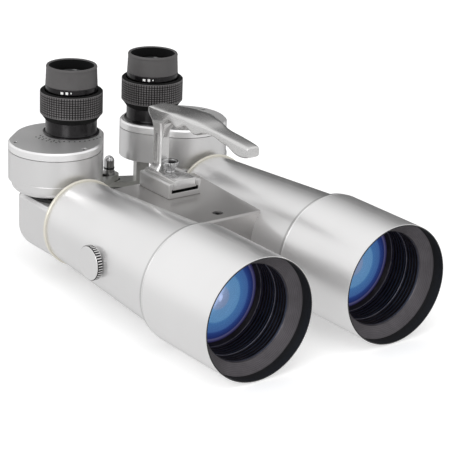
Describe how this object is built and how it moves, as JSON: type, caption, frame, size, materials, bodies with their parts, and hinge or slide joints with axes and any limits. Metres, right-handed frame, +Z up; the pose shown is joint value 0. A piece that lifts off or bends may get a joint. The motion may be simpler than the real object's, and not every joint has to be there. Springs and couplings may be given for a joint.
{
  "type": "astronomy binoculars",
  "caption": "Tripod-mounted astronomy binoculars with sliding dew shields, elbow prism housings, upright eyepieces, folding spacing and a carrying handle.",
  "frame": {"origin": "mouth of the tripod thread, at the centre of the foot's flat underside", "axes": "+Z up along the tripod screw, the objectives look along -Y and the observer stands at +Y, +X towards the observer's left-hand tube (the observer faces -Y)"},
  "size_m": [0.216, 0.316, 0.1566],
  "materials": {
    "pearl_paint": "satin pearl-white paint on aluminium tube",
    "housing_paint": "satin pearl-grey paint on castings",
    "deck_paint": "semi-gloss warm grey paint, slightly reflective",
    "handle_paint": "smooth satin pearl-grey paint on a casting",
    "cream_paint": "pale cream satin paint",
    "grey_anodised": "dark grey anodised, fine concentric turning lines",
    "black_anodised": "matte black anodised",
    "felt": "black felt guide strip",
    "coated_glass": "blue multi-layer coated optical glass",
    "prism_glass": "clear optical glass",
    "arm_metal": "satin bead-blasted aluminium",
    "steel": "fine machined steel",
    "chrome": "polished chrome",
    "barrel_black": "semi-gloss black anodised",
    "grip_rubber": "matte black rubber with a square-grid knurl",
    "eyecup_rubber": "smooth matte dark-grey rubber"
  },
  "bodies": {
    "chassis": {"tube_right": "pearl_paint", "objective_cell_right": "black_anodised", "objective_retainer_right": "black_anodised", "objective_crown_right": "coated_glass", "objective_flint_right": "coated_glass", "rear_ring_right": "cream_paint", "elbow_housing_right": "housing_paint", "elbow_prism_right": "prism_glass", "pivot_sleeve_right": "arm_metal", "tube_left": "pearl_paint", "objective_cell_left": "black_anodised", "objective_retainer_left": "black_anodised", "objective_crown_left": "coated_glass", "objective_flint_left": "coated_glass", "rear_ring_left": "cream_paint", "elbow_housing_left": "housing_paint", "elbow_prism_left": "prism_glass", "pivot_sleeve_left": "arm_metal", "bridge": "deck_paint", "tripod_foot": "deck_paint", "deck_screws": "steel", "guide_bar": "arm_metal", "handle_shoe": "deck_paint"},
    "shield_right": {"dew_shield_right": "pearl_paint", "shield_front_ring_right": "grey_anodised", "shield_baffle_right": "black_anodised", "shield_felt_right": "felt"},
    "housing_right": {"prism_housing_right": "housing_paint", "housing_cover_right": "housing_paint", "cover_screws_right": "steel", "rhomboid_prism_right": "prism_glass", "ipd_arm_right": "arm_metal", "focuser_base_right": "barrel_black"},
    "focuser_right": {"focus_ring_right": "grip_rubber"},
    "eyepiece_right": {"eyepiece_barrel_right": "barrel_black", "eye_lens_right": "coated_glass"},
    "cup_right": {"eyecup_right": "eyecup_rubber"},
    "fork_cap_right": {"side_cap_right": "housing_paint"},
    "shield_left": {"dew_shield_left": "pearl_paint", "shield_front_ring_left": "grey_anodised", "shield_baffle_left": "black_anodised", "shield_felt_left": "felt"},
    "housing_left": {"prism_housing_left": "housing_paint", "housing_cover_left": "housing_paint", "cover_screws_left": "steel", "rhomboid_prism_left": "prism_glass", "ipd_arm_left": "arm_metal", "focuser_base_left": "barrel_black"},
    "focuser_left": {"focus_ring_left": "grip_rubber"},
    "eyepiece_left": {"eyepiece_barrel_left": "barrel_black", "eye_lens_left": "coated_glass"},
    "cup_left": {"eyecup_left": "eyecup_rubber"},
    "fork_cap_left": {"side_cap_left": "housing_paint"},
    "lock_slider": {"lock_post": "steel"},
    "lock_nut": {"lock_knob": "chrome"},
    "handle": {"handle_frame": "handle_paint"},
    "handle_screw": {"thumb_screw": "chrome"}
  },
  "joints": [
    {"name": "shield_slide_right", "type": "slide", "parent": "chassis", "child": "shield_right", "axis": [0, -1, 0], "range_m": [0, 0.018]},
    {"name": "shield_slide_left", "type": "slide", "parent": "chassis", "child": "shield_left", "axis": [0, -1, 0], "range_m": [0, 0.018]},
    {"name": "ipd_right", "type": "hinge", "parent": "chassis", "child": "housing_right", "pos_m": [-0.062, 0.093, 0.061], "axis": [0, 0, 1], "range_deg": [-26, 2]},
    {"name": "ipd_left", "type": "hinge", "parent": "chassis", "child": "housing_left", "pos_m": [0.062, 0.093, 0.061], "axis": [0, 0, 1], "range_deg": [-2, 26]},
    {"name": "lock_slide", "type": "slide", "parent": "chassis", "child": "lock_slider", "axis": [0, 1, 0], "range_m": [-0.0298, 0.0024]},
    {"name": "lock_turn", "type": "hinge", "parent": "lock_slider", "child": "lock_nut", "pos_m": [0, 0.1208, 0.065], "axis": [0, 0, 1], "range_deg": [0, 270]},
    {"name": "focus_right", "type": "hinge", "parent": "housing_right", "child": "focuser_right", "pos_m": [-0.0386, 0.1177, 0.121], "axis": [0, 0, 1], "range_deg": [-90, 150]},
    {"name": "eyepiece_travel_right", "type": "slide", "parent": "housing_right", "child": "eyepiece_right", "axis": [0, 0, 1], "range_m": [-0.003, 0.005]},
    {"name": "eyecup_slide_right", "type": "slide", "parent": "eyepiece_right", "child": "cup_right", "axis": [0, 0, 1], "range_m": [0, 0.005]},
    {"name": "focus_left", "type": "hinge", "parent": "housing_left", "child": "focuser_left", "pos_m": [0.0386, 0.1177, 0.121], "axis": [0, 0, 1], "range_deg": [-90, 150]},
    {"name": "eyepiece_travel_left", "type": "slide", "parent": "housing_left", "child": "eyepiece_left", "axis": [0, 0, 1], "range_m": [-0.003, 0.005]},
    {"name": "eyecup_slide_left", "type": "slide", "parent": "eyepiece_left", "child": "cup_left", "axis": [0, 0, 1], "range_m": [0, 0.005]},
    {"name": "handle_slide", "type": "slide", "parent": "chassis", "child": "handle", "axis": [0, -1, 0], "range_m": [0, 0.015]},
    {"name": "handle_screw_turn", "type": "hinge", "parent": "handle", "child": "handle_screw", "pos_m": [0, 0.0346, 0.086], "axis": [0, 0, 1], "range_deg": [0, 270]},
    {"name": "fork_cap_turn_right", "type": "hinge", "parent": "chassis", "child": "fork_cap_right", "pos_m": [-0.101, -0.013, 0.043], "axis": [1, 0, 0], "range_deg": [0, 270]},
    {"name": "fork_cap_turn_left", "type": "hinge", "parent": "chassis", "child": "fork_cap_left", "pos_m": [0.101, -0.013, 0.043], "axis": [1, 0, 0], "range_deg": [0, 270]}
  ],
  "couplings": [
    {"joint": "ipd_left", "follows": "ipd_right", "ratio": -1},
    {"joint": "lock_slide", "follows": "ipd_right", "m_per_rad": 0.0655},
    {"joint": "eyepiece_travel_right", "follows": "focus_right", "m_per_rad": 0.0019},
    {"joint": "eyepiece_travel_left", "follows": "focus_left", "m_per_rad": 0.0019}
  ]
}
